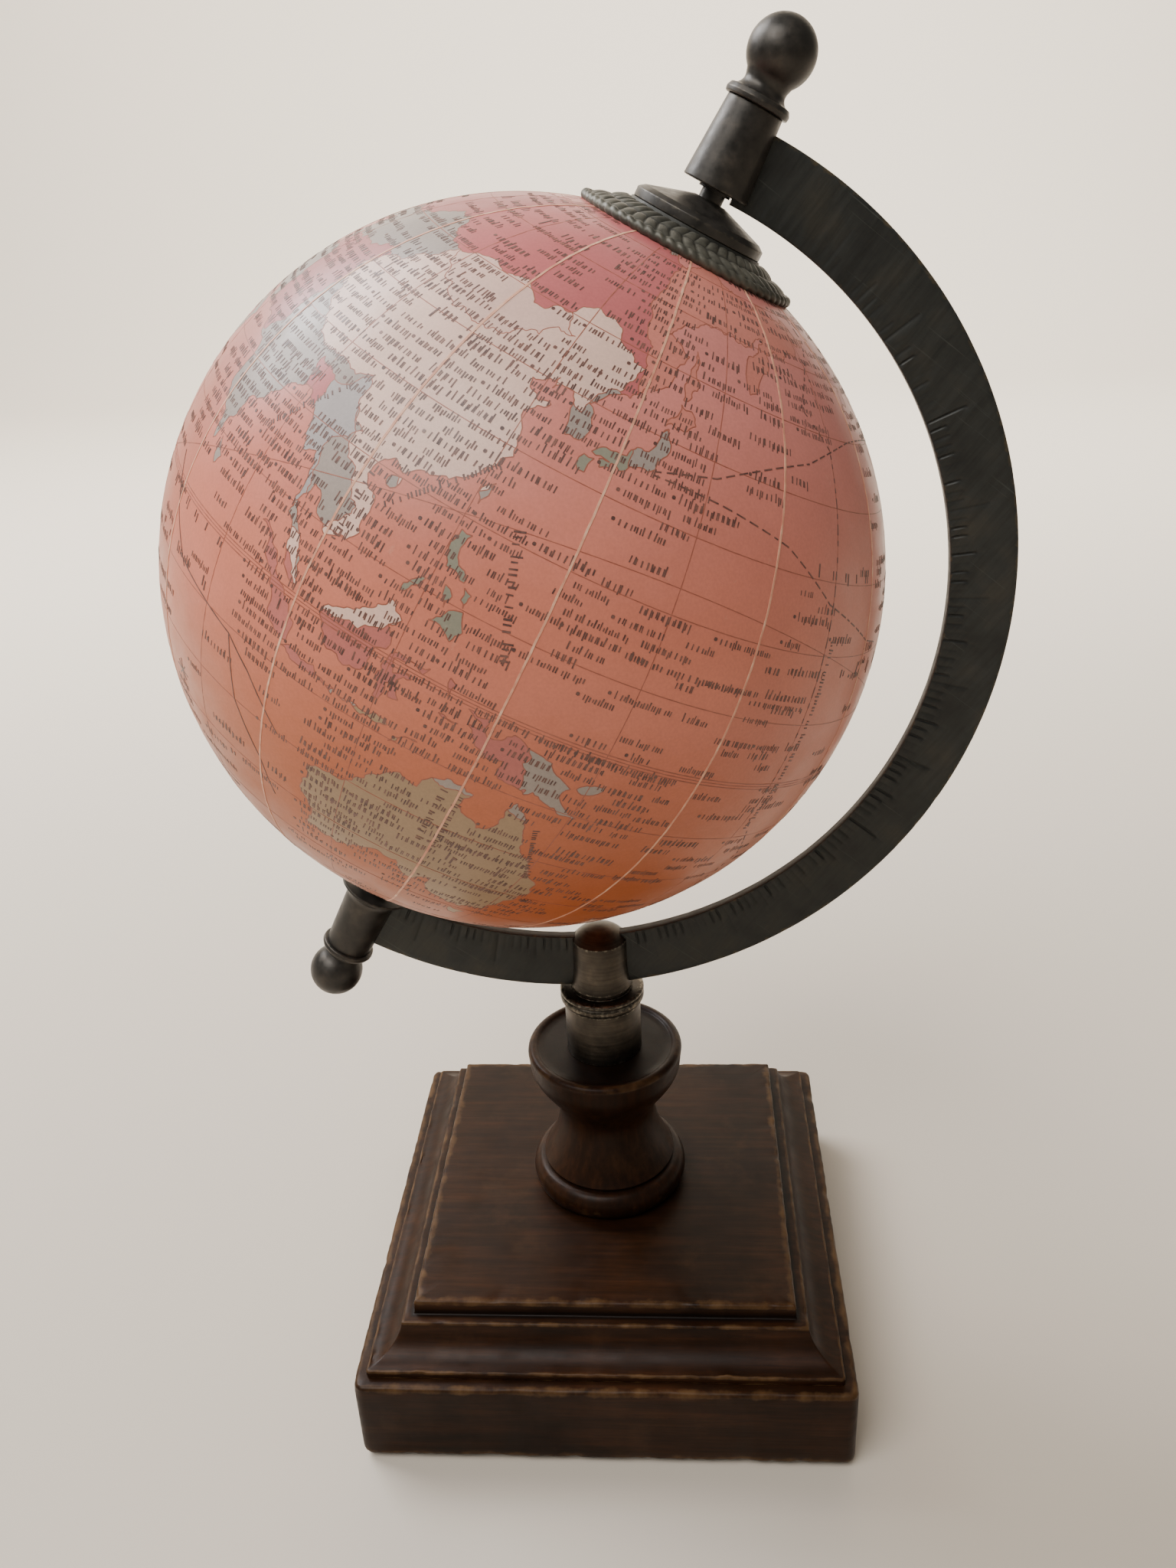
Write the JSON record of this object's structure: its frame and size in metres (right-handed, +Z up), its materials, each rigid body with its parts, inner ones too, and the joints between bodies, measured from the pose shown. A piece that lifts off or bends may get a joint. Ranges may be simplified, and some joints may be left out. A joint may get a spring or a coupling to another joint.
{
  "type": "desktop globe on stand",
  "caption": "Small world globe that spins on a tilted axle in a flat C-shaped meridian arc, which swivels on a turned column and square moulded wooden base.",
  "frame": {"origin": "centre of the underside of the base, on the post's axis", "axes": "+Z up along the post; the meridian arc lies in the XZ plane and opens towards -X; +Y is the rear"},
  "size_m": [0.1507, 0.127, 0.2577],
  "materials": {
    "stained_wood": "satin, dark walnut stain worn at the edges",
    "felt": "short nap",
    "steel": "brushed",
    "dark_bronze": "dark bronze patina, satin",
    "patinated_metal": "greenish black patina, satin",
    "fibre": "matt",
    "moulded_board": "matt",
    "printed_map": "satin varnished paper",
    "hub_wood": "unfinished"
  },
  "bodies": {
    "stand": {"felt_pad": "felt", "base_plinth": "stained_wood", "base_moulding": "stained_wood", "base_screws": "steel", "turned_column": "stained_wood", "tie_rod": "steel", "tie_washer": "steel", "tie_nut": "steel", "ferrule": "dark_bronze", "collar_ring": "dark_bronze", "stem_set_screw": "steel"},
    "meridian": {"swivel_washer": "fibre", "arc_holder": "dark_bronze", "meridian_arc": "patinated_metal", "arc_set_screw": "steel", "top_sleeve": "dark_bronze", "bottom_sleeve": "dark_bronze", "axle_rod": "steel", "top_finial": "dark_bronze", "bottom_finial": "dark_bronze", "top_thrust_washer": "steel", "bottom_thrust_washer": "steel"},
    "globe": {"north_hemisphere": "moulded_board", "south_hemisphere": "moulded_board", "equator_band": "moulded_board", "map_gores": "printed_map", "north_hub": "hub_wood", "south_hub": "hub_wood", "polar_ring": "patinated_metal", "north_cap": "dark_bronze", "south_cap": "dark_bronze"}
  },
  "joints": [
    {"name": "arc_swivel", "type": "hinge", "parent": "stand", "child": "meridian", "pos_m": [0, 0, 0.08315], "axis": [0, 0, 1], "continuous": true},
    {"name": "globe_spin", "type": "hinge", "parent": "meridian", "child": "globe", "pos_m": [-0.01015, 0, 0.17144], "axis": [0.4802, 0, 0.8771], "continuous": true}
  ]
}
